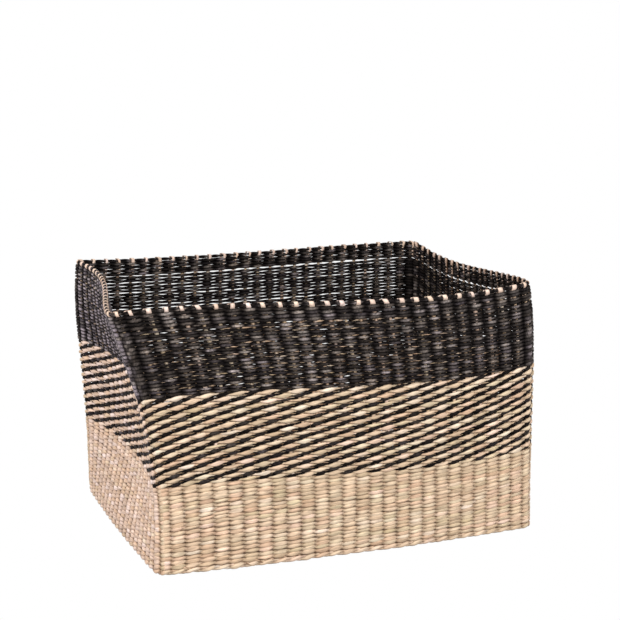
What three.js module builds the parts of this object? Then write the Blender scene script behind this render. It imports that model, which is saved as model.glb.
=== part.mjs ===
// Rectangular soft storage basket, twined from seagrass.
// Flat stakes run up one wall, across the base and up the opposite wall. Pairs of strands are twined
// round them in rows, so each wall is a row of stakes with a layer of weft on its outer and inner face.
// Millimetres, +Z up, X left to right, Y front to back. The origin is the middle of the bounding box,
// on the floor.
import * as THREE from "three";

// Overall size, between the corners of the base and from the floor to the rim.
const WIDTH = 408;
const DEPTH = 304;
const HEIGHT = 258.5;
const CORNER_ROUND = 16; // from a corner to where its rounding meets the side

// Stakes: flat bundles of grass. The long ones cross the base from front to back, and the cross ones
// from left to right, on top of them.
const LONG_STAKES = 28;
const CROSS_STAKES = 21;
const STAKE_WIDTH = 4.5;
const STAKE_THICKNESS = 1.8;
const STAKE_BEND = 3.5; // the turn from wall to base, measured along either of them

// Weft: the twined strands, as a layer on each face of the stakes.
const WEFT_THICKNESS = 1.5;
const FOOT_HEIGHT = 5.5; // the thicker wale that turns the base into the wall
const NATURAL_BAND = 84.8; // from the floor to the first colour change
const STRIPED_BAND = 88.4; // from there to the second one
const RIM_HEIGHT = 3.6; // the top row, with the stake ends folded over it

const CLEARANCE = 0.3; // between any two pieces

// How the soft basket stands. Each corner's foot is a little off square. Higher up the corner leans, as
// [x, y, z] at the rim, bulges halfway up and flares three quarters up, as [x, y].
const CORNERS = [
  { x: -1, y: -1, foot: [-0.5, 0.7], lean: [-42, 4, 0], bulge: [4.5, 6], flare: [0, 0] }, // front left
  { x: 1, y: -1, foot: [0.2, 1], lean: [-9, 1, 2], bulge: [-1, 1.5], flare: [4.5, 0] }, // front right
  { x: 1, y: 1, foot: [0, 0], lean: [-1.5, -2, 0.5], bulge: [0, 0], flare: [0, 0] }, // back right
  { x: -1, y: 1, foot: [2.7, -3], lean: [-9, 4, 2], bulge: [-3, -1.5], flare: [-5, 0] }, // back left
];

const FLARE_SCALE = 256 / 27; // makes the flare whole at its height, where up ** 3 * (1 - up) is greatest

// Each side goes from its own corner to the next. It bows outwards, the rim's bow is skewed towards its
// end, and its rows sag. A dent is a bow inwards halfway up.
const SIDES = [
  { length: WIDTH, out: [0, -1], bowFoot: 8, bowRim: 11.5, dent: -2, skewRim: 3.5, sag: 2.2, sagSkew: 10 },
  { length: DEPTH, out: [1, 0], bowFoot: 3, bowRim: 8, dent: 0, skewRim: -1, sag: 9, sagSkew: 8 },
  { length: WIDTH, out: [0, 1], bowFoot: 6, bowRim: -4, dent: 0, skewRim: -1, sag: 1.5, sagSkew: 3 },
  { length: DEPTH, out: [-1, 0], bowFoot: 3.5, bowRim: -15, dent: 19, skewRim: 14, sag: 1.5, sagSkew: 0 },
];
const SAG_BELOW = 90; // the sag is taken up in the rows under this height

// Layers of the wall, as depths behind its outer surface.
const STAKE_FRONT = WEFT_THICKNESS + CLEARANCE;
const STAKE_BACK = STAKE_FRONT + STAKE_THICKNESS;
const INNER_FRONT = STAKE_BACK + CLEARANCE;
const WALL = INNER_FRONT + WEFT_THICKNESS;
const STAKE_MIDDLE = (STAKE_FRONT + STAKE_BACK) / 2;

// Layers of the base, as heights above the floor.
const LONG_LAYER = STAKE_MIDDLE;
const CROSS_LAYER = LONG_LAYER + STAKE_THICKNESS + CLEARANCE;
const UPPER_WEFT = CROSS_LAYER + STAKE_THICKNESS / 2 + CLEARANCE;
const UPPER_WEFT_INSET = STAKE_MIDDLE + STAKE_BEND + CLEARANCE;
const INNER_FOOT = CROSS_LAYER + STAKE_BEND + CLEARANCE;

const STRIPED_TOP = NATURAL_BAND + STRIPED_BAND;
const BLACK_TOP = HEIGHT - RIM_HEIGHT - CLEARANCE;

const NATURAL = new THREE.MeshStandardMaterial({ color: 0xd3bb96, roughness: 0.8, metalness: 0 });
const STRIPED = new THREE.MeshStandardMaterial({ color: 0x8f7d66, roughness: 0.75, metalness: 0 });
const BLACK = new THREE.MeshStandardMaterial({ color: 0x26242b, roughness: 0.6, metalness: 0 });

const last = (index) => (index + SIDES.length - 1) % SIDES.length;
const next = (index) => (index + 1) % SIDES.length;

// A corner of the wall's outer surface, before rounding, at a level above the floor.
function cornerPoint(index, level) {
  const c = CORNERS[index];
  const up = level / HEIGHT;
  const belly = 4 * up * (1 - up);
  const shoulder = FLARE_SCALE * up ** 3 * (1 - up);
  const [x, y] = [0, 1].map(
    (axis) => c.foot[axis] + c.lean[axis] * up * up + c.bulge[axis] * belly + c.flare[axis] * shoulder,
  );
  return new THREE.Vector3((c.x * WIDTH) / 2 + x, (c.y * DEPTH) / 2 + y, level + c.lean[2] * up);
}

// A point of a side's outer surface, before its corners are rounded; t goes from 0 to 1 along it.
function sidePoint(index, t, level) {
  const s = SIDES[index];
  const up = level / HEIGHT;
  const arch = 4 * t * (1 - t);
  const skew = arch * (2 * t - 1);
  const settle = Math.sin((Math.PI / 2) * Math.min(level / SAG_BELOW, 1));
  const bow = s.bowFoot * (1 - up) + s.bowRim * up - s.dent * (4 * up * (1 - up)) ** 2;
  const out = bow * arch + s.skewRim * up * up * skew;
  const p = cornerPoint(index, level).lerp(cornerPoint(next(index), level), t);
  p.x += s.out[0] * out;
  p.y += s.out[1] * out;
  p.z -= (s.sag * arch + s.sagSkew * skew) * settle;
  return p;
}

// A quadratic curve round one corner, from w = 0 on the side before it to w = 1 on the side after it.
function roundedCorner(index, w, level) {
  const before = last(index);
  const start = sidePoint(before, 1 - CORNER_ROUND / SIDES[before].length, level);
  const end = sidePoint(index, CORNER_ROUND / SIDES[index].length, level);
  const curve = new THREE.QuadraticBezierCurve3(start, cornerPoint(index, level), end);
  return curve.getPoint(w);
}

// The finished outer surface. A t just outside 0 to 1 carries on round the corner.
function outerPoint(index, t, level) {
  const length = SIDES[index].length;
  const round = CORNER_ROUND / length;
  if (t < 0) return outerPoint(last(index), 1 + (t * length) / SIDES[last(index)].length, level);
  if (t > 1) return outerPoint(next(index), ((t - 1) * length) / SIDES[next(index)].length, level);
  if (t < round) return roundedCorner(index, 0.5 + (0.5 * t) / round, level);
  if (t > 1 - round) return roundedCorner(next(index), (0.5 * (t - 1 + round)) / round, level);
  return sidePoint(index, t, level);
}

// The same point moved inwards, level, by a depth.
function wallPoint(index, t, level, depth) {
  const step = 0.5 / SIDES[index].length;
  const ahead = outerPoint(index, t + step, level);
  const along = ahead.sub(outerPoint(index, t - step, level)).setZ(0).normalize();
  return outerPoint(index, t, level).add(new THREE.Vector3(-along.y, along.x, 0).multiplyScalar(depth));
}

const stakeCount = (index) => (SIDES[index].length === WIDTH ? LONG_STAKES : CROSS_STAKES);
const stakePlace = (index, number) => (number + 0.5) / stakeCount(index);

// Places round the basket where the weft turns: both edges of the stakes at the corners, both ends of
// each rounding, the corners themselves, and between them each stake of the short sides and every second
// one of the long sides.
const STATIONS = SIDES.flatMap((side, index) => {
  const first = stakePlace(index, 0);
  const half = STAKE_WIDTH / 2 / side.length;
  const start = [0, first - half, first + half, CORNER_ROUND / side.length];
  const end = start.slice(1).map((t) => 1 - t);
  const between = [];
  const step = side.length === WIDTH ? 2 : 1;
  for (let n = step; n < stakeCount(index) - step; n += step) between.push(stakePlace(index, n));
  const places = [...start, ...between, ...end].sort((a, b) => a - b);
  return places.map((t) => ({ index, t }));
});

// Joins a row of sections, each a loop of the same number of points, into one closed body.
function skin(sections, closed) {
  const across = sections[0].length;
  const faces = [];
  const spans = closed ? sections.length : sections.length - 1;
  for (let i = 0; i < spans; i += 1) {
    const here = i * across;
    const there = ((i + 1) % sections.length) * across;
    for (let j = 0; j < across; j += 1) {
      const k = (j + 1) % across;
      faces.push(here + j, there + j, there + k, here + j, there + k, here + k);
    }
  }
  const end = (sections.length - 1) * across;
  for (let j = 1; !closed && j < across - 1; j += 1) faces.push(0, j, j + 1, end, end + j + 1, end + j);
  const geometry = new THREE.BufferGeometry().setFromPoints(sections.flat());
  geometry.setIndex(faces);
  geometry.computeVertexNormals();
  return geometry;
}

// A ring of wall between two depths, turning at each of its levels.
function ring(levels, front, back) {
  const sections = STATIONS.map(({ index, t }) => {
    const outer = levels.map((level) => wallPoint(index, t, level, front));
    const inner = levels.map((level) => wallPoint(index, t, level, back));
    return [...outer, ...inner.reverse()];
  });
  return skin(sections, true);
}

// A flat mat over the base, set in from the outer surface.
function mat(bottom, inset) {
  const points = STATIONS.map(({ index, t }) => wallPoint(index, t, bottom, inset));
  const outline = new THREE.Shape(points.map((p) => new THREE.Vector2(p.x, p.y)));
  const geometry = new THREE.ExtrudeGeometry(outline, { depth: WEFT_THICKNESS, bevelEnabled: false });
  return geometry.translate(0, 0, bottom);
}

// One stake's section in a wall. The far wall is met on the way up, so its left and right change over.
function wallSection(index, t, level, onWayUp) {
  const half = ((onWayUp ? -1 : 1) * STAKE_WIDTH) / 2 / SIDES[index].length;
  return [
    wallPoint(index, t - half, level, STAKE_FRONT),
    wallPoint(index, t + half, level, STAKE_FRONT),
    wallPoint(index, t + half, level, STAKE_BACK),
    wallPoint(index, t - half, level, STAKE_BACK),
  ];
}

// One stake's section in the base, one bend in from the wall's foot.
function baseSection(foot, ahead, layer) {
  const middle = foot.clone().addScaledVector(ahead, STAKE_BEND).setZ(layer);
  const side = new THREE.Vector3(ahead.y, -ahead.x, 0).multiplyScalar(STAKE_WIDTH / 2);
  const down = new THREE.Vector3(0, 0, -STAKE_THICKNESS / 2);
  return [
    middle.clone().sub(side).add(down),
    middle.clone().add(side).add(down),
    middle.clone().add(side).sub(down),
    middle.clone().sub(side).sub(down),
  ];
}

// A whole stake: down the first wall, across the base in its layer and up the second wall.
function stake(firstSide, secondSide, number, layer) {
  const t = stakePlace(firstSide, number);
  const levels = [
    BLACK_TOP,
    (BLACK_TOP + STRIPED_TOP) / 2,
    STRIPED_TOP,
    STRIPED_TOP - STRIPED_BAND / 2,
    NATURAL_BAND,
    NATURAL_BAND / 2,
    layer + STAKE_BEND,
  ];
  const firstFoot = wallPoint(firstSide, t, 0, STAKE_MIDDLE);
  const secondFoot = wallPoint(secondSide, 1 - t, 0, STAKE_MIDDLE);
  const ahead = secondFoot.clone().sub(firstFoot).setZ(0).normalize();
  const sections = [
    ...levels.map((level) => wallSection(firstSide, t, level, false)),
    baseSection(firstFoot, ahead, layer),
    baseSection(secondFoot, ahead.clone().negate(), layer).map((_, i, loop) => loop[[1, 0, 3, 2][i]]),
    ...levels.map((level) => wallSection(secondSide, 1 - t, level, true)).reverse(),
  ];
  return skin(sections, false);
}

const basket = new THREE.Group();

function add(name, geometry, material) {
  const mesh = new THREE.Mesh(geometry, material);
  mesh.name = name;
  basket.add(mesh);
}

// Stakes, numbered from the left for the long ones and from the back for the cross ones.
const FRONT = 0;
const RIGHT = 1;
const BACK = 2;
const LEFT = 3;
const twoDigits = (number) => String(number + 1).padStart(2, "0");
for (let n = 0; n < LONG_STAKES; n += 1) {
  add("stake_long_" + twoDigits(n), stake(FRONT, BACK, n, LONG_LAYER), NATURAL);
}
for (let n = 0; n < CROSS_STAKES; n += 1) {
  add("stake_cross_" + twoDigits(n), stake(LEFT, RIGHT, n, CROSS_LAYER), NATURAL);
}

// The twined base, and the wale that turns it up into the walls.
add("base_weft_lower", mat(0, STAKE_FRONT), NATURAL);
add("base_weft_upper", mat(UPPER_WEFT, UPPER_WEFT_INSET), NATURAL);
add("foot_wale", ring([0, FOOT_HEIGHT], 0, WEFT_THICKNESS), NATURAL);

// The three bands of the wall, each a layer outside the stakes and a layer inside them.
const bands = [
  { name: "natural", material: NATURAL, from: FOOT_HEIGHT, to: NATURAL_BAND, innerFrom: INNER_FOOT - CLEARANCE },
  { name: "striped", material: STRIPED, from: NATURAL_BAND, to: STRIPED_TOP, innerFrom: NATURAL_BAND },
  { name: "black", material: BLACK, from: STRIPED_TOP, to: BLACK_TOP, innerFrom: STRIPED_TOP },
];
for (const { name, material, from, to, innerFrom } of bands) {
  const half = CLEARANCE / 2;
  const middle = name === "natural" ? NATURAL_BAND / 2 : (from + to) / 2;
  const top = name === "black" ? to : to - half;
  const outerBottom = name === "natural" ? from + CLEARANCE : from + half;
  const innerBottom = name === "natural" ? innerFrom + CLEARANCE : innerFrom + half;
  add(name + "_weft_outer", ring([outerBottom, middle, top], 0, WEFT_THICKNESS), material);
  add(name + "_weft_inner", ring([innerBottom, middle, top], INNER_FRONT, WALL), material);
}

// The rim: the last twined row, which the stake ends fold over.
add("rim_border", ring([BLACK_TOP + CLEARANCE, HEIGHT], 0, WALL), BLACK);

// Stand the basket on the floor with its bounding box centred on the origin.
const box = new THREE.Box3().setFromObject(basket);
const centre = box.getCenter(new THREE.Vector3());
basket.position.set(-centre.x, -centre.y, -box.min.z);
const group = new THREE.Group();
group.add(basket);

export default group;
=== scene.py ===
import math

import bmesh
import bpy
import numpy as np
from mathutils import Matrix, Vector


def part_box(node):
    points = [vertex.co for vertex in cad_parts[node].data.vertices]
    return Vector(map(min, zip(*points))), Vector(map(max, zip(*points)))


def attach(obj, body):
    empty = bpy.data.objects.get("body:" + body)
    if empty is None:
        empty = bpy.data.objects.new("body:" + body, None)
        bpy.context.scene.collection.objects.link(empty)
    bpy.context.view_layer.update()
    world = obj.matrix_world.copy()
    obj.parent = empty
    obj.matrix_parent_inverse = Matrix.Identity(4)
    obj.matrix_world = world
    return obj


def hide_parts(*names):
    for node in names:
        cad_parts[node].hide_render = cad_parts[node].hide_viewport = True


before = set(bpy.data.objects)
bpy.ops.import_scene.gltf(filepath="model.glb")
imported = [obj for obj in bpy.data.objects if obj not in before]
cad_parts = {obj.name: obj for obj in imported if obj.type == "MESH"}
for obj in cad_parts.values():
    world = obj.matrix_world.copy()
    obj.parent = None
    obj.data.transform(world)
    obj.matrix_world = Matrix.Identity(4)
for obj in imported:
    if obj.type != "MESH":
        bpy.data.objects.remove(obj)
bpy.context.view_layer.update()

# Camera and studio. The camera stands low in front of the basket and to its left, looking slightly down.
# A white floor and a white room light it from all round. One soft lamp stands to its left, and another
# to its front right.
scene = bpy.context.scene
scene.view_settings.view_transform = "Standard"

CAMERA_PLACE = (-0.5723, -1.5637, 0.5539)
CAMERA_TURN = math.radians(-20.97)
CAMERA_DIP = math.radians(11.36)
CAMERA_SENSOR = 36.0
CAMERA_LENS = 93.57
camera = bpy.data.objects.new("camera", bpy.data.cameras.new("camera"))
camera.data.sensor_width = CAMERA_SENSOR
camera.data.lens = CAMERA_LENS
camera.location = CAMERA_PLACE
camera.rotation_euler = (math.pi / 2 - CAMERA_DIP, 0, CAMERA_TURN)
scene.collection.objects.link(camera)
scene.camera = camera

ROOM_LIGHT = 0.62  # the room and the floor look white, and light the basket more softly than that
room = bpy.data.worlds.new("white_room")
room.use_nodes = True
seen = room.node_tree.nodes["Background"]
seen.inputs["Color"].default_value = (1, 1, 1, 1)
glow = room.node_tree.nodes.new("ShaderNodeBackground")
glow.inputs["Color"].default_value = (1, 1, 1, 1)
glow.inputs["Strength"].default_value = ROOM_LIGHT
ray = room.node_tree.nodes.new("ShaderNodeLightPath")
either = room.node_tree.nodes.new("ShaderNodeMixShader")
room.node_tree.links.new(ray.outputs["Is Camera Ray"], either.inputs["Fac"])
room.node_tree.links.new(glow.outputs["Background"], either.inputs[1])
room.node_tree.links.new(seen.outputs["Background"], either.inputs[2])
world_end = room.node_tree.nodes["World Output"]
room.node_tree.links.new(either.outputs["Shader"], world_end.inputs["Surface"])
scene.world = room


LAMP_AIM = (0, 0, 0.12)
LAMP_SIZE = 0.9


def lamp(name, place, watts):
    """A square soft lamp, turned towards the middle of the basket."""
    data = bpy.data.lights.new(name, "AREA")
    data.size = LAMP_SIZE
    data.energy = watts
    light = bpy.data.objects.new(name, data)
    light.location = place
    light.rotation_euler = (Vector(LAMP_AIM) - Vector(place)).to_track_quat("-Z", "Y").to_euler()
    scene.collection.objects.link(light)


lamp("left_lamp", (-1.6, -0.8, 1.4), 33)
lamp("front_lamp", (0.9, -1.9, 1.4), 31)

FLOOR_HALF = 12.0
FLOOR_LEVEL = -0.0005
bm = bmesh.new()
bmesh.ops.create_grid(bm, x_segments=1, y_segments=1, size=FLOOR_HALF)
floor = bpy.data.objects.new("floor", bpy.data.meshes.new("floor"))
bm.to_mesh(floor.data)
bm.free()
floor.location = (0, 0, FLOOR_LEVEL)
scene.collection.objects.link(floor)
paper = bpy.data.materials.new("white_paper")
paper.use_nodes = True
shader = paper.node_tree.nodes["Principled BSDF"]
shader.inputs["Base Color"].default_value = (0, 0, 0, 1)
shader.inputs["Specular IOR Level"].default_value = 0
shader.inputs["Emission Color"].default_value = (1, 1, 1, 1)
floor_ray = paper.node_tree.nodes.new("ShaderNodeLightPath")
strength = paper.node_tree.nodes.new("ShaderNodeMapRange")
strength.inputs["To Min"].default_value = ROOM_LIGHT
strength.inputs["To Max"].default_value = 1.0
paper.node_tree.links.new(floor_ray.outputs["Is Camera Ray"], strength.inputs["Value"])
paper.node_tree.links.new(strength.outputs["Result"], shader.inputs["Emission Strength"])
floor.data.materials.append(paper)

# Stakes. Flat bundles of undyed grass. Each stands in one wall, crosses the base and stands in the wall
# opposite. At the rim it comes out over the last row, folds over it and runs back down inside the wall.
MM = 0.001
LONG = sorted(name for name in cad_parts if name.startswith("stake_long_"))
CROSS = sorted(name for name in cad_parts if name.startswith("stake_cross_"))
RING_CORNERS = 4
BASE_RINGS = 2
WALL_RINGS = 7
AROUND = len(LONG) * 2 + len(CROSS) * 2


def ring_places(name, axis):
    """The middles of a stake's rings of corners in its two walls, from foot to rim, and in the base."""
    corners = {tuple(round(c, 7) for c in v.co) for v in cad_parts[name].data.vertices}
    points = np.array(sorted(corners, key=lambda p: p[2]))
    in_base = BASE_RINGS * RING_CORNERS
    base = points[:in_base]
    walls = points[in_base:]
    halves = []
    for side in (walls[walls[:, axis] < 0], walls[walls[:, axis] > 0]):
        halves.append(side.reshape(WALL_RINGS, RING_CORNERS, 3).mean(axis=1))
    return halves[0], halves[1], base.mean(axis=0)


# The stakes in order round the basket: front, right, back and left wall, anticlockwise from above.
long_rings = [ring_places(name, 1) for name in LONG]
cross_rings = [ring_places(name, 0) for name in CROSS]
order = [r[0] for r in long_rings]
order += [r[1] for r in reversed(cross_rings)]
order += [r[1] for r in reversed(long_rings)]
order += [r[0] for r in cross_rings]
rings = np.array(order)
BACK_START = len(LONG) + len(CROSS)
LEFT_START = 2 * len(LONG) + len(CROSS)

# A level is the height of a place on a wall before it sags. The rings give the levels where the colour
# changes, and every stake's path is a smooth curve through its own rings.
ring_levels = rings[:, :, 2].mean(axis=0)
level_of = np.tile(ring_levels, (AROUND, 1))
level_of[:, 0] = rings[:, 0, 2]
CURVE_DEGREE = 4
paths = [
    [np.polyfit(level_of[k], rings[k, :, axis], CURVE_DEGREE) for axis in (0, 1)] for k in range(AROUND)
]
NATURAL_RING, STRIPED_RING, TOP_RING = 2, 4, 6
RIM_OVER_STAKES = 5.4 * MM
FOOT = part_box("foot_wale")[1].z
NATURAL_TOP = ring_levels[NATURAL_RING]
STRIPED_TOP = ring_levels[STRIPED_RING]
RIM = ring_levels[TOP_RING] + RIM_OVER_STAKES


def stake_places(level):
    """Where all the stakes' middles are at one level, in order round the basket."""
    places = np.empty((AROUND, 3))
    for k in range(AROUND):
        places[k, 0] = np.polyval(paths[k][0], level)
        places[k, 1] = np.polyval(paths[k][1], level)
        places[k, 2] = level + np.interp(level, level_of[k], rings[k, :, 2] - level_of[k])
    return places


def closed_curve(places, u):
    """A smooth closed curve through the places, at u counted in stakes, and its direction there."""
    k = np.floor(u).astype(int)
    t = (u - k)[:, None]
    a, b, c, d = (places[(k + shift) % len(places)] for shift in (-1, 0, 1, 2))
    slope = c - a
    bow = 2 * a - 5 * b + 4 * c - d
    twist = 3 * b - a - 3 * c + d
    place = 0.5 * (2 * b + slope * t + bow * t**2 + twist * t**3)
    way = 0.5 * (slope + 2 * bow * t + 3 * twist * t**2)
    return place, way


def unit(vectors):
    return vectors / np.linalg.norm(vectors, axis=-1, keepdims=True)


def wall(u, level):
    """Places on the wall's middle surface, with the ways along, up and out of it."""
    lower = stake_places(level - MM)
    upper = stake_places(level + MM)
    place, along = closed_curve((lower + upper) / 2, u)
    up = closed_curve(upper - lower, u)[0]
    along = unit(along)
    out = unit(np.cross(along, up))
    return place, along, unit(np.cross(out, along)), out


# Painted shade: the nooks where strands cross are darkened in the colour, most on a strand's edges.
PAINTED_SHADE_ON_FLATS = 0.15  # how dark a nook is on a strand's broad sides, as a share of its edges
EDGE_ONLY = 1 - PAINTED_SHADE_ON_FLATS


def tube(bm, line, ways, halves, sides, closed, looks, painted_edge_shade, painted_inner_shade, turned):
    """Adds a tube of oval section along a line. Its ways and half sizes are along its width and its depth,
    and its section is turned by a share of one side. Its vertices carry the looks of their stretch: a tone,
    a tint and how much painted shade they take in the nooks. Its edges add more painted shade to that, and
    its inner side adds more again, by the two given amounts."""
    count = len(line)
    steps = count if closed else count - 1
    made = bmesh.ops.create_grid(bm, x_segments=steps, y_segments=sides, size=1, calc_uvs=True)["verts"]
    index = np.arange(steps + 1) % count
    layer = bm.verts.layers.float_vector["looks"]
    for j in range(sides + 1):
        angle = 2 * math.pi * ((j % sides) + turned) / sides
        width = ways[0] * (halves[0] * math.cos(angle))[:, None]
        depth = ways[1] * (halves[1] * math.sin(angle))[:, None]
        places = (line + (width + depth))[index]
        edge = math.cos(angle) ** 2
        inner = max(-math.sin(angle), 0)
        shown = looks[index].copy()
        painted_shade = shown[:, 2] * (PAINTED_SHADE_ON_FLATS + EDGE_ONLY * edge) + painted_edge_shade * edge + painted_inner_shade * inner
        shown[:, 2] = np.clip(painted_shade, 0, 1)
        for vert, place, look in zip(made[j * (steps + 1) :], places, shown):
            vert.co = place
            vert[layer] = look


def new_mesh():
    bm = bmesh.new()
    bm.loops.layers.uv.new("UVMap")
    bm.verts.layers.float_vector.new("looks")
    return bm


SAME_PLACE = 1e-7


def piece(name, bm, material, nodes):
    """Finishes a mesh as a piece that stands for CAD nodes."""
    bmesh.ops.remove_doubles(bm, verts=bm.verts, dist=SAME_PLACE)
    ends = [e for e in bm.edges if e.is_boundary]
    if ends:
        bmesh.ops.holes_fill(bm, edges=ends, sides=0)
    bmesh.ops.recalc_face_normals(bm, faces=bm.faces)
    for face in bm.faces:
        face.smooth = True
    made = bpy.data.objects.new(name, bpy.data.meshes.new(name))
    bm.to_mesh(made.data)
    bm.free()
    made.data.materials.append(material)
    scene.collection.objects.link(made)
    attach(made, "root")
    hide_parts(*nodes)


STREAK_DETAIL = 3.0
BLOTCH_DETAIL = 2.0
BLOTCH_SCALE = 90.0  # so blotches are about a centimetre across
TONES_APART = 37.0  # sets the streaks of two tones apart in the noise


def fibre_group():
    """Long fibres along a strand: a streak mask for the colour and a height for the bump."""
    group = bpy.data.node_groups.new("grass_fibres", "ShaderNodeTree")
    group.interface.new_socket("Along", in_out="INPUT", socket_type="NodeSocketFloat")
    group.interface.new_socket("Round", in_out="INPUT", socket_type="NodeSocketFloat")
    group.interface.new_socket("Tone", in_out="INPUT", socket_type="NodeSocketFloat")
    group.interface.new_socket("Streaks", in_out="OUTPUT", socket_type="NodeSocketFloat")
    group.interface.new_socket("Blotches", in_out="OUTPUT", socket_type="NodeSocketFloat")
    nodes, links = group.nodes, group.links
    given = nodes.new("NodeGroupInput")
    result = nodes.new("NodeGroupOutput")
    uv = nodes.new("ShaderNodeUVMap")
    uv.uv_map = "UVMap"
    parts = nodes.new("ShaderNodeSeparateXYZ")
    links.new(uv.outputs["UV"], parts.inputs["Vector"])
    stretched = nodes.new("ShaderNodeCombineXYZ")
    for axis, socket in (("X", "Along"), ("Y", "Round")):
        times = nodes.new("ShaderNodeMath")
        times.operation = "MULTIPLY"
        links.new(parts.outputs[axis], times.inputs[0])
        links.new(given.outputs[socket], times.inputs[1])
        links.new(times.outputs[0], stretched.inputs[axis])
    apart = nodes.new("ShaderNodeMath")
    apart.operation = "MULTIPLY"
    apart.inputs[1].default_value = TONES_APART
    links.new(given.outputs["Tone"], apart.inputs[0])
    links.new(apart.outputs[0], stretched.inputs["Z"])
    streaks = nodes.new("ShaderNodeTexNoise")
    streaks.inputs["Scale"].default_value = 1.0
    streaks.inputs["Detail"].default_value = STREAK_DETAIL
    links.new(stretched.outputs["Vector"], streaks.inputs["Vector"])
    links.new(streaks.outputs["Fac"], result.inputs["Streaks"])
    place = nodes.new("ShaderNodeTexCoord")
    blotches = nodes.new("ShaderNodeTexNoise")
    blotches.inputs["Scale"].default_value = BLOTCH_SCALE
    blotches.inputs["Detail"].default_value = BLOTCH_DETAIL
    links.new(place.outputs["Object"], blotches.inputs["Vector"])
    links.new(blotches.outputs["Fac"], result.inputs["Blotches"])
    return group


FIBRES = fibre_group()
NOISE_LOW, NOISE_HIGH = 0.3, 0.7  # nearly all of a noise lies between these
BLOTCHES = (0.88, 1.1)  # the darkest and lightest blotches, as a share of the colour
FIBRE_DEPTH = 0.4 * MM
SHEEN_ROUGHNESS = 0.5


def grass(name, tones, tints, painted_shade, *, streaks, fibre, bump, roughness, specular, sheen, sheen_tint):
    """Dried grass: its colours follow the tone and tint of each stitch, with streaks along the fibres, and it
    is mixed towards a painted shade colour in the nooks where strands cross, as far as the looks say. fibre
    is how fine the streaks are along and round."""
    material = bpy.data.materials.new(name)
    material.use_nodes = True
    nodes, links = material.node_tree.nodes, material.node_tree.links
    shader = nodes["Principled BSDF"]
    looks = nodes.new("ShaderNodeAttribute")
    looks.attribute_name = "looks"
    parts = nodes.new("ShaderNodeSeparateXYZ")
    links.new(looks.outputs["Vector"], parts.inputs["Vector"])
    fibres = nodes.new("ShaderNodeGroup")
    fibres.node_tree = FIBRES
    fibres.inputs["Along"].default_value = fibre[0]
    fibres.inputs["Round"].default_value = fibre[1]
    links.new(parts.outputs["X"], fibres.inputs["Tone"])
    colours = []
    for stops, part in ((tones, "X"), (tints, "Y")):
        ramp = nodes.new("ShaderNodeValToRGB")
        ramp.color_ramp.elements[0].position = stops[0][0]
        ramp.color_ramp.elements[0].color = (*stops[0][1], 1)
        ramp.color_ramp.elements[1].position = stops[-1][0]
        ramp.color_ramp.elements[1].color = (*stops[-1][1], 1)
        for position, colour in stops[1:-1]:
            ramp.color_ramp.elements.new(position).color = (*colour, 1)
        links.new(parts.outputs[part], ramp.inputs["Fac"])
        colours.append(ramp.outputs["Color"])
    tinted = nodes.new("ShaderNodeVectorMath")
    tinted.operation = "MULTIPLY"
    links.new(colours[0], tinted.inputs[0])
    links.new(colours[1], tinted.inputs[1])
    shades = []
    for output, (low, high) in (("Streaks", streaks), ("Blotches", BLOTCHES)):
        shade = nodes.new("ShaderNodeMapRange")
        shade.inputs["From Min"].default_value = NOISE_LOW
        shade.inputs["From Max"].default_value = NOISE_HIGH
        shade.inputs["To Min"].default_value = low
        shade.inputs["To Max"].default_value = high
        links.new(fibres.outputs[output], shade.inputs["Value"])
        shades.append(shade.outputs["Result"])
    both = nodes.new("ShaderNodeMath")
    both.operation = "MULTIPLY"
    links.new(shades[0], both.inputs[0])
    links.new(shades[1], both.inputs[1])
    streaked = nodes.new("ShaderNodeVectorMath")
    streaked.operation = "SCALE"
    links.new(tinted.outputs["Vector"], streaked.inputs[0])
    links.new(both.outputs[0], streaked.inputs["Scale"])
    shaded = nodes.new("ShaderNodeMix")
    shaded.data_type = "RGBA"
    colour_a, colour_b = [socket for socket in shaded.inputs if socket.type == "RGBA"]
    links.new(parts.outputs["Z"], shaded.inputs["Factor"])
    links.new(streaked.outputs["Vector"], colour_a)
    colour_b.default_value = (*painted_shade, 1)
    mixed = [socket for socket in shaded.outputs if socket.type == "RGBA"][0]
    links.new(mixed, shader.inputs["Base Color"])
    shader.inputs["Roughness"].default_value = roughness
    shader.inputs["Specular IOR Level"].default_value = specular
    shader.inputs["Sheen Weight"].default_value = sheen
    shader.inputs["Sheen Roughness"].default_value = SHEEN_ROUGHNESS
    shader.inputs["Sheen Tint"].default_value = (*sheen_tint, 1)
    ridges = nodes.new("ShaderNodeBump")
    ridges.inputs["Strength"].default_value = bump
    ridges.inputs["Distance"].default_value = FIBRE_DEPTH
    links.new(fibres.outputs["Streaks"], ridges.inputs["Height"])
    links.new(ridges.outputs["Normal"], shader.inputs["Normal"])
    return material


NATURAL_TONES = (
    (0.0, (0.30, 0.20, 0.11)),
    (0.25, (0.48, 0.34, 0.21)),
    (0.5, (0.61, 0.45, 0.30)),
    (0.75, (0.73, 0.56, 0.40)),
    (1.0, (0.88, 0.74, 0.61)),
)
NATURAL_TINTS = (
    (0.0, (1.03, 0.98, 1.08)),
    (0.2, (1.07, 0.96, 0.95)),
    (0.4, (1.03, 0.99, 0.97)),
    (0.65, (0.99, 1.01, 1.0)),
    (1.0, (0.94, 1.00, 0.90)),
)
# The colour of the painted shade in the nooks of undyed grass.
NATURAL_SHADE_COLOUR = (0.105, 0.043, 0.012)
stake_grass = grass(
    "undyed_stake_grass", NATURAL_TONES, NATURAL_TINTS, NATURAL_SHADE_COLOUR,
    streaks=(0.82, 1.1), fibre=(60.0, 7.0), bump=0.4, roughness=0.6, specular=0.3,
    sheen=0.05, sheen_tint=(1.0, 0.95, 0.95),
)

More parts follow.
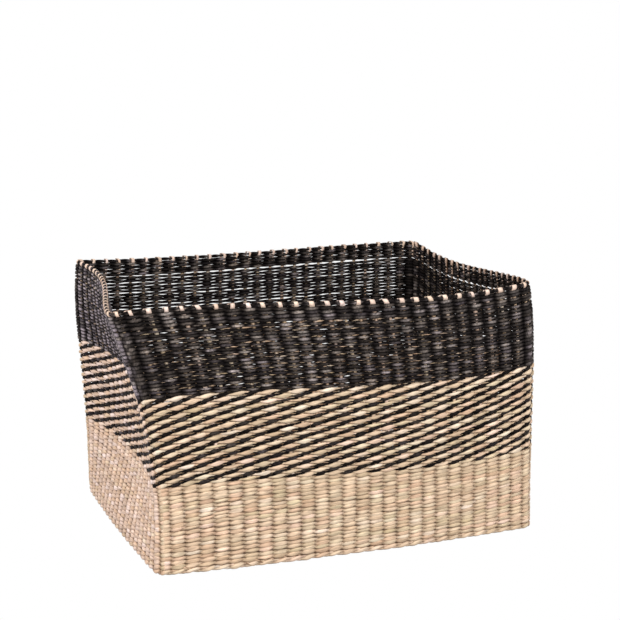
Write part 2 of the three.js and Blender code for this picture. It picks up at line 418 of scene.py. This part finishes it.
STAKE_HALF_WIDE = 2.15 * MM
STAKE_HALF_DEEP = 0.8 * MM
FOLD_HALF_WIDE = 2.6 * MM
FOLD_HALF_DEEP = 0.6 * MM
STAKE_SIDES = 6
STAKE_STEPS = 64
# Painted shade on a stake's edges and on its inner side.
STAKE_EDGE_SHADE = 0.2
STAKE_INNER_SHADE = 0.1
HALF_TURNED = 0.5  # of one side
# The fold, from the end inside the wall over the rim and back to the middle of the wall: how far out from
# the middle, and how far below the rim.
FOLD = (
    (-1.3, 20), (-1.3, 16), (-1.3, 12), (-1.4, 8.5), (-1.6, 6.0), (-1.8, 4.6), (-1.9, 3.2), (-1.7, 1.8),
    (-1.0, 0.8), (0, 0.5), (1.0, 0.8), (1.7, 1.8), (1.9, 2.9), (1.7, 4.0), (1.1, 4.8), (0.5, 5.8), (0.4, 9),
)
FOLD_LENGTH = 6 * MM  # below the rim, where a fold may stand askew
FOLD_REACH = 1.9  # how far a fold stands out at most
FOLD_JOIN = 14 * MM  # below the rim, where the plain stake begins

# How uneven the stakes are, as ranges and, for the lean and the shift, as spreads in millimetres. A width is
# a share of the usual one, and a slant is how many millimetres to one side a fold's inner end lies.
FOLD_LEAN = 0.8
FOLD_SHIFT = 0.35
FOLD_SLANT = (0.5, 4.5)
FOLD_WIDTH = (0.65, 1.2)
BACK_FOLD_WIDTH = 0.7
WALL_WIDTH = (0.7, 1.2)
FOLD_TONE = (0.85, 1.0)
WALL_TONE = (0.4, 1.0)
FOLD_TINT = (0, 0.35)
WALL_TINT = (0, 0.7)
# How dark they are. In the black band some stretches take painted shade, as if in shadow behind the black
# strands, more of them on some stakes than on others. The folds are darkened: most on the right, less on the
# back and left, least in front.
SHADOWED_SHARE = (0.15, 0.8)
SHADOWED_SHADE = 0.85
LESSER_SHADE = (0, 0.4)
FRONT_FOLD_DARKENING = (0, 0.12)
RIGHT_FOLD_DARKENING = (0.6, 1.0)
BACK_FOLD_DARKENING = (0.1, 0.5)
LEFT_FOLD_DARKENING = (0.05, 0.3)

# The stretch in the base: its bends, as how far along from each foot and how high over the layer, and its
# looks.
BASE_BEND = 5 * MM
BEND_RUNS = np.array([0.35, 2.0, 5.0, 20.0]) * MM
BEND_HEIGHTS = np.array([2.4, 0.6]) * MM
FLAT_RUNS = np.linspace(0.2, 0.8, 5)  # places between the bends, as a share of the way across
BEND_LEAN = 0.4  # how far a stake still faces outwards at its second bend
BASE_LOOKS = (0.7, 0.3, 0.0)
stake_luck = np.random.default_rng(11)


def stake_side(k, place, along, out, rings_down):
    """A stake in one wall, from its folded end down to its foot: its line, ways, half widths and looks."""
    off, levels, half_wide, _ = rings_down
    count = len(levels)
    in_fold = np.arange(count) < len(FOLD)
    in_black = (levels > STRIPED_TOP) & ~in_fold
    folded = np.clip((levels - RIM + FOLD_LENGTH) / FOLD_LENGTH, 0, 1)
    on_right = len(LONG) <= k < BACK_START
    on_back = BACK_START <= k < LEFT_START
    on_left = k >= LEFT_START
    askew = folded * stake_luck.normal(0, FOLD_LEAN) + (folded > 0) * stake_luck.normal(0, FOLD_SHIFT)
    askew += in_fold * np.clip(off / (MM * FOLD_REACH), -1, 0) * stake_luck.uniform(*FOLD_SLANT)
    line = place[:, k] + out[:, k] * off[:, None] + along[:, k] * askew[:, None] * MM
    fold_width = stake_luck.uniform(*FOLD_WIDTH) * (BACK_FOLD_WIDTH if on_back else 1)
    uneven = np.where(in_fold, fold_width, stake_luck.uniform(*WALL_WIDTH, count))
    looks = np.empty((count, 3))
    fold_tone = stake_luck.uniform(*FOLD_TONE)
    looks[:, 0] = np.where(in_fold, fold_tone, stake_luck.uniform(*WALL_TONE, count))
    looks[:, 1] = stake_luck.uniform(*WALL_TINT)
    shadowed = stake_luck.random(count) < stake_luck.uniform(*SHADOWED_SHARE)
    # The folds are darkened by an amount that depends on their wall.
    fold_darkening = stake_luck.uniform(*(RIGHT_FOLD_DARKENING if on_right else FRONT_FOLD_DARKENING))
    fold_darkening += stake_luck.uniform(*BACK_FOLD_DARKENING) * on_back + stake_luck.uniform(*LEFT_FOLD_DARKENING) * on_left
    # Painted shade on the stakes' stretches in the black band, deep on the shadowed ones and lighter on the
    # rest.
    painted_shade = np.where(shadowed, SHADOWED_SHADE, stake_luck.uniform(*LESSER_SHADE, count))
    looks[:, 2] = np.where(in_black, painted_shade, 0)
    looks[in_fold, 1] = stake_luck.uniform(*FOLD_TINT)
    looks[in_fold, 2] = fold_darkening
    return line, along[:, k], out[:, k], half_wide * uneven, looks


def stake_base(foot1, foot2, out1, out2, layer):
    """A stake's stretch across the base, between the feet of its two sides: its line and ways."""
    ahead = unit((foot2 - foot1) * (1, 1, 0))
    reach = np.linalg.norm((foot2 - foot1)[:2])
    runs = np.concatenate([BEND_RUNS, FLAT_RUNS * reach, reach - BEND_RUNS[::-1]])
    heights = np.full(len(runs), layer)
    heights[[0, 1]] += BEND_HEIGHTS
    heights[[-1, -2]] += BEND_HEIGHTS
    line = foot1 * (1, 1, 0) + np.outer(runs, ahead) + np.outer(heights, (0, 0, 1))
    wide = np.tile(unit(np.array([ahead[1], -ahead[0], 0.0])), (len(runs), 1))
    deep = np.tile((0.0, 0.0, -1.0), (len(runs), 1))
    for end, step, out in ((0, 1, out1), (-1, -1, out2)):
        deep[end] = unit(out + (0, 0, -1.0))
        deep[end + step] = unit(out * BEND_LEAN + (0, 0, -1.0))
    return line, wide, deep


def stakes(name, count, first, second, layer, nodes):
    """The stakes that lie in one layer of the base. Each stands in the walls at two places in the order."""
    bm = new_mesh()
    rim_to_foot = [(out * MM, RIM - below * MM, FOLD_HALF_WIDE, FOLD_HALF_DEEP) for out, below in FOLD]
    for level in np.linspace(RIM - FOLD_JOIN, layer + BASE_BEND, STAKE_STEPS):
        rim_to_foot.append((0.0, level, STAKE_HALF_WIDE, STAKE_HALF_DEEP))
    rings_down = np.array(rim_to_foot).T
    half_deep = rings_down[3]
    at = [wall(np.arange(AROUND, dtype=float), level) for level in rings_down[1]]
    place, along, _, out = (np.array([a[part] for a in at]) for part in range(4))
    for number in range(count):
        line1, wide1, deep1, halves1, looks1 = stake_side(first(number), place, along, out, rings_down)
        line2, wide2, deep2, halves2, looks2 = stake_side(second(number), place, along, out, rings_down)
        base, base_wide, base_deep = stake_base(line1[-1], line2[-1], deep1[-1], deep2[-1], layer)
        line = np.vstack([line1, base, line2[::-1]])
        wide = np.vstack([wide1, base_wide, -wide2[::-1]])
        deep = np.vstack([deep1, base_deep, deep2[::-1]])
        half_wides = np.concatenate([halves1, np.full(len(base), STAKE_HALF_WIDE), halves2[::-1]])
        half_deeps = np.concatenate([half_deep, np.full(len(base), STAKE_HALF_DEEP), half_deep[::-1]])
        looks = np.vstack([looks1, np.tile(BASE_LOOKS, (len(base), 1)), looks2[::-1]])
        halves = (half_wides, half_deeps)
        tube(bm, line, (wide, deep), halves, STAKE_SIDES, False, looks, STAKE_EDGE_SHADE, STAKE_INNER_SHADE, HALF_TURNED)
    piece(name, bm, stake_grass, nodes)


LONG_LAYER = 2.7 * MM
CROSS_LAYER = 4.8 * MM
stakes("long_stakes", len(LONG), lambda n: n, lambda n: LEFT_START - 1 - n, LONG_LAYER, LONG)
stakes(
    "cross_stakes", len(CROSS), lambda n: LEFT_START + n, lambda n: BACK_START - 1 - n, CROSS_LAYER, CROSS
)

# Natural band. Rows of two undyed strands twisted half a turn between stakes, so that each goes outside
# one stake and inside the next. Over a stake a strand lies flat and tall, and between stakes it narrows.
STITCH_STEPS = 6
U = np.arange(AROUND * STITCH_STEPS) / STITCH_STEPS
DRIFT = 8  # stitches over which a strand's colour changes along its length
CORNER_US = np.array([0, len(LONG), BACK_START, LEFT_START]) - 0.5
CROWDED = 1.3  # stakes each side of a corner where the strands are pressed taller
# Near the corners the painted shade at the crossings is made deeper or shallower.
CORNER_REACH = 0.5  # stakes each side of a corner where the nooks are deeper or shallower than elsewhere
OUTWARD_WANDER = 0.6  # how far strands wander in and out, as a share of up and down
PINCHED = 0.55  # the height of a stitch that its neighbours pinch
PALER = 0.2  # how much lighter the few pale stitches are
OWN_TINT = 0.35  # the share of a stitch's tint that is its own, the rest coming from along the strand
STRAND_TINT = 0.65


def twine(bm, u, along_row, parity, style, luck, closed=True):
    """Adds one strand of a twined row. It is outside where the stake's number plus parity is even."""
    place, up, out, stray = along_row
    turn = math.pi * (u + stray + parity)
    over = np.abs(np.cos(turn)) ** style["flat"]
    stitch = np.floor(u + 0.5).astype(int)
    most = stitch.max() + 2
    number = np.arange(most)
    between = np.clip(u, 0, most - 1)
    wander_up = np.interp(between, number, luck.normal(0, style["wander"], most)) * MM
    wander_out = np.interp(between, number, luck.normal(0, style["wander"] * OUTWARD_WANDER, most)) * MM
    size = luck.normal(1, style["uneven"], most)
    size[luck.random(most) < style["pinch"]] *= PINCHED
    size = np.interp(between, number, size)
    crowd = corner = 1.0
    if closed:
        ease = np.clip(np.minimum(u, AROUND - u), 0, 1)
        wander_up, wander_out, size = wander_up * ease, wander_out * ease, 1 + (size - 1) * ease
        from_corner = np.abs((u[:, None] - CORNER_US + AROUND / 2) % AROUND - AROUND / 2).min(axis=1)
        crowd = 1 + style["crowd"] * np.exp(-((from_corner / CROWDED) ** 2))
        corner = 1 + style["corner"] * np.exp(-((from_corner / CORNER_REACH) ** 2))
    rise = style["rise"] * MM * np.sin(turn)
    swing = (style["swing"] * np.cos(turn) + style["proud"]) * MM
    tall = (style["tall_cross"] + (style["tall"] * size - style["tall_cross"]) * over) * crowd * MM / 2
    deep = (style["deep_cross"] + (style["deep"] - style["deep_cross"]) * over) * MM / 2
    line = place + out * (swing + wander_out)[:, None] + up * (rise + wander_up)[:, None]
    low, high, slow = style["tones"]
    knots = np.arange(0, most + DRIFT, DRIFT)
    drift = np.interp(number, knots, luck.uniform(low, high, len(knots)))
    tone = luck.uniform(low, high, most) * (1 - slow) + drift * slow
    tone[luck.random(most) < style["pale"]] += PALER
    own_tint = luck.uniform(0, 1, most)
    strand_tint = np.interp(number, knots, luck.uniform(0, 1, len(knots)))
    tint = own_tint * OWN_TINT + strand_tint * STRAND_TINT
    # Painted sheen: on the left wall the stitches are made lighter and their tint shifted, as grazing light
    # shows them.
    on_left = (number > LEFT_START) & (number < AROUND) & closed
    tone = np.clip(tone + style["left_sheen_tone"] * on_left, 0, 1)
    tint = np.clip(tint + style["left_sheen_tint"] * on_left, 0, 1)
    # Painted shade where the strands cross: the tone is darkened and the colour mixed towards the shade
    # colour, more or less near the corners.
    crossing = (1 - np.abs(np.cos(turn))) ** 2 * corner
    looks = np.empty((len(u), 3))
    looks[:, 0] = tone[stitch % most] * (1 - np.minimum(style["shade"] * crossing, 1))
    looks[:, 1] = tint[stitch % most]
    looks[:, 2] = style["painted_shade"] * crossing
    tube(
        bm, line, (up, out), (tall, deep), style["sides"], closed, looks, style["edge"], style["inner"],
        style["shift"],
    )


STRAY = 0.06  # in stakes, how far the strands' crossings stray along a row
WOBBLE = 0.25 * MM  # how far a row strays up and down
WOBBLE_STAKES = 4  # stakes from one stray to the next


def wall_row(level, luck):
    """The line of one row round the basket, with small waves up and down."""
    place, _, up, out = wall(U, level)
    knots = luck.normal(0, WOBBLE, AROUND // WOBBLE_STAKES + 2)
    knots[-2:] = knots[:2]
    waves = np.interp(U, np.arange(len(knots)) * WOBBLE_STAKES, knots)
    strays = luck.normal(0, STRAY, AROUND + 1)
    strays[-1] = strays[0]
    return place + up * waves[:, None], up, out, np.interp(U, np.arange(AROUND + 1), strays)


NATURAL_ROWS = 20
STRIPED_ROWS = 21
natural = grass(
    "undyed_seagrass", NATURAL_TONES, NATURAL_TINTS, NATURAL_SHADE_COLOUR,
    streaks=(0.68, 1.22), fibre=(110.0, 9.0), bump=0.7, roughness=0.55, specular=0.3,
    sheen=0.1, sheen_tint=(1.0, 0.90, 0.95),
)
# How a strand is twined. In mm: how far it swings out, rises while it crosses the wall and stands proud, its
# height and depth over a stake and at the crossing, and how it wanders. The tones are the darkest, the
# lightest and how much of them drifts along the strand. The rest are shares, and those for the crossings,
# the edges, the inner side and the corners set how much painted shade the strand takes there, and those for
# the left wall a painted sheen there.
natural_style = {
    "swing": 1.5, "rise": 0.5, "proud": 0.0, "wander": 0.24,
    "tall": 4.75, "tall_cross": 2.2, "deep": 2.4, "deep_cross": 2.6, "flat": 0.5, "sides": 8, "shift": 0.5,
    "uneven": 0.14, "pinch": 0.0, "crowd": 0.12,
    "tones": (0.35, 0.9, 0.5), "pale": 0.03, "shade": 0.0, "left_sheen_tone": 0.12, "left_sheen_tint": -0.40,
    "painted_shade": 1.6, "edge": 0.12, "inner": 0.0, "corner": 0.3,
}
LINE_SEED = 1000
STRAND_SEEDS = 1000


def band(name, rows, first_row, strand, style, material, node, seed):
    """One strand of every row in a band. Strand 0 and strand 1 of a row share its line."""
    bm = new_mesh()
    for j, level in enumerate(rows):
        row = wall_row(level, np.random.default_rng(LINE_SEED + first_row + j))
        strand_luck = np.random.default_rng(seed * STRAND_SEEDS + j)
        twine(bm, U, row, first_row + j + strand, style, strand_luck)
    piece(name, bm, material, [node])


pitch = (NATURAL_TOP - FOOT) / NATURAL_ROWS
natural_rows = [FOOT + pitch * (j + 0.5) for j in range(NATURAL_ROWS)]
for strand, name, node in ((0, "one", "natural_weft_outer"), (1, "two", "natural_weft_inner")):
    band(
        "natural_strand_" + name, natural_rows, 0, strand, natural_style, natural, node,
        1 + strand,
    )

# Striped band. Each row has one undyed strand and one thinner black one, and the undyed stitches of a row
# sit one stake along from those of the row below, so the colours run round the basket in slanting stripes.
# The tone varies at random from stitch to stitch, and its light end also serves as a painted highlight on the
# black strands in place of gloss.
BLACK_TONES = (
    (0.0, (0.003, 0.002, 0.002)),
    (0.45, (0.025, 0.021, 0.019)),
    (0.75, (0.095, 0.082, 0.075)),
    (1.0, (0.340, 0.300, 0.272)),
)
BLACK_TINTS = ((0.0, (1.08, 0.98, 0.90)), (0.5, (1.0, 0.97, 0.97)), (1.0, (0.98, 0.93, 1.12)))
# The colour of the painted shade in the nooks of black grass.
BLACK_SHADE_COLOUR = (0.0015, 0.001, 0.001)
black = grass(
    "black_dyed_seagrass", BLACK_TONES, BLACK_TINTS, BLACK_SHADE_COLOUR,
    streaks=(0.4, 1.9), fibre=(420.0, 5.0), bump=0.6, roughness=0.45, specular=0.03,
    sheen=0.01, sheen_tint=(0.80, 0.68, 0.85),
)
undyed_style = dict(
    natural_style, rise=0.9, proud=0.4, tall=4.3, tall_cross=1.7, flat=1.0, uneven=0.17,
    tones=(0.35, 0.95, 0.3), painted_shade=0.6,
)
thin_style = dict(
    natural_style, rise=0.8, proud=-0.4, tall=4.2, tall_cross=1.3, flat=1.2, sides=6,
    tones=(0.0, 0.6, 0.2), pale=0.0, shade=0.6, left_sheen_tint=0.3,
)
pitch = (STRIPED_TOP - NATURAL_TOP) / STRIPED_ROWS
striped_rows = [NATURAL_TOP + pitch * (j + 0.5) for j in range(STRIPED_ROWS)]
band(
    "striped_strand_undyed", striped_rows, NATURAL_ROWS, 0, undyed_style, natural,
    "striped_weft_outer", 3,
)
band(
    "striped_strand_black", striped_rows, NATURAL_ROWS, 1, thin_style, black,
    "striped_weft_inner", 4,
)

# Black band. Both strands are dyed and hard twisted, so they are thinner, and the stakes show in the gaps
# between the rows. The top rows go round the folded stake ends too, and a wider gap marks their ends.
BLACK_ROWS = 22
DOUBLED_ROWS = 4
WIDE_GAP = 1.2 * MM
RIM_ROW = 5.0 * MM
# The black strands take strong painted shade on their edges, inner side and crossings, which leaves a painted
# lit ridge along each stitch over a stake.
black_style = dict(
    natural_style, swing=2.0, rise=0.12, wander=0.15, tall=3.1, tall_cross=2.75, deep=1.9, deep_cross=2.1,
    flat=1.0, shift=0.0, uneven=0.1, pinch=0.12, crowd=0.5, tones=(0.3, 1.0, 0.15), pale=0.05, shade=1.0,
    left_sheen_tone=0.3, left_sheen_tint=0.45, painted_shade=1.0, edge=1.0, inner=0.45, corner=-0.75,
)
doubled_style = dict(black_style, tall=3.4, tall_cross=3.2, rise=0.3, uneven=0.08, pinch=0.03, crowd=0.1)
pitch = (RIM - RIM_ROW - WIDE_GAP - STRIPED_TOP) / BLACK_ROWS
plain_count = BLACK_ROWS - DOUBLED_ROWS
plain_rows = [STRIPED_TOP + pitch * (j + 0.5) for j in range(plain_count)]
doubled_rows = [STRIPED_TOP + WIDE_GAP + pitch * (j + 0.5) for j in range(plain_count, BLACK_ROWS)]
first = NATURAL_ROWS + STRIPED_ROWS
for strand, name, node in ((0, "one", "black_weft_outer"), (1, "two", "black_weft_inner")):
    band(
        "black_strand_" + name, plain_rows, first, strand, black_style, black,
        node, 5 + strand,
    )
    band(
        "black_top_strand_" + name, doubled_rows, first + plain_count, strand, doubled_style, black,
        node, 7 + strand,
    )

# Rim. The last row lies inside the folds of the stakes, so its two black strands twist on each other.
RIM_STRANDS_BELOW = 3.1 * MM
rim_style = dict(
    black_style, swing=0.8, rise=0.8, tall=2.1, tall_cross=2.1, deep=1.7, deep_cross=1.7, pinch=0.0, crowd=0.0
)
for strand, name in enumerate(("one", "two")):
    band(
        "rim_strand_" + name, [RIM - RIM_STRANDS_BELOW], 0, strand, rim_style, black,
        "rim_border", 9 + strand,
    )

# Foot. A heavier row of undyed strands turns the base up into the walls and takes the wear.
FOOT_ROW = 2.9 * MM
# Its crossings take more painted shade than the natural band's.
foot_style = dict(
    natural_style, swing=0.9, rise=1.2, wander=0.1, tall=4.4, tall_cross=2.4, deep=3.2, deep_cross=3.4,
    painted_shade=2.2,
)
for strand, name in enumerate(("one", "two")):
    band(
        "foot_strand_" + name, [FOOT_ROW], 1, strand, foot_style, natural, "foot_wale",
        11 + strand,
    )

# Base. Undyed rows run from side to side, twined round the long stakes with the cross stakes among them.
BASE_MIDDLE = 3.75 * MM
BASE_PITCH = 4.3 * MM
BASE_STEPS = 4
FIRST_ROW_IN = 2.6 * MM  # from the front edge of the base to its first row
LAST_ROW_IN = 2.2 * MM
ROW_ENDS_IN = 1.5 * MM
OUTLINE_LEVEL = 4 * MM
FEWEST_POINTS = 8  # along the shortest rows
U_SHIFT = 2  # keeps the stakes' numbers along a row over 0 where it starts before the first stake
BASE_SEED = 5000
base_style = dict(natural_style, swing=2.75, rise=1.1, tall=4.2, tall_cross=2.3, deep=1.5, deep_cross=2.2)
stake_x = np.array([r[2][0] for r in long_rings])
spread = (stake_x[-1] - stake_x[0]) / (len(LONG) - 1)
outline = stake_places(OUTLINE_LEVEL)
outline_next = np.roll(outline, -1, axis=0)


def base_row(y):
    """The line of one row from side to side, and the numbers of the long stakes along it."""
    meets = (outline[:, 1] - y) * (outline_next[:, 1] - y) < 0
    share = (y - outline[meets, 1]) / (outline_next[meets, 1] - outline[meets, 1])
    ends = outline[meets, 0] + share * (outline_next[meets, 0] - outline[meets, 0])
    left, right = ends.min() + ROW_ENDS_IN, ends.max() - ROW_ENDS_IN
    first_u, last_u = (left - stake_x[0]) / spread, (right - stake_x[0]) / spread
    u = np.linspace(first_u, last_u, max(FEWEST_POINTS, int((last_u - first_u) * BASE_STEPS)))
    place = np.column_stack([stake_x[0] + u * spread, np.full(len(u), y), np.full(len(u), BASE_MIDDLE)])
    up = np.tile((0.0, 1.0, 0.0), (len(u), 1))
    out = np.tile((0.0, 0.0, -1.0), (len(u), 1))
    return (place, up, out, 0), u + U_SHIFT


for strand, name, node in ((0, "one", "base_weft_lower"), (1, "two", "base_weft_upper")):
    bm = new_mesh()
    row = 0
    y = outline[:, 1].min() + FIRST_ROW_IN
    while y < outline[:, 1].max() - LAST_ROW_IN:
        along_row, u = base_row(y)
        row_luck = np.random.default_rng(BASE_SEED + row * 2 + strand)
        twine(bm, u, along_row, row + strand, base_style, row_luck, closed=False)
        y += BASE_PITCH
        row += 1
    piece("base_strand_" + name, bm, natural, [node])
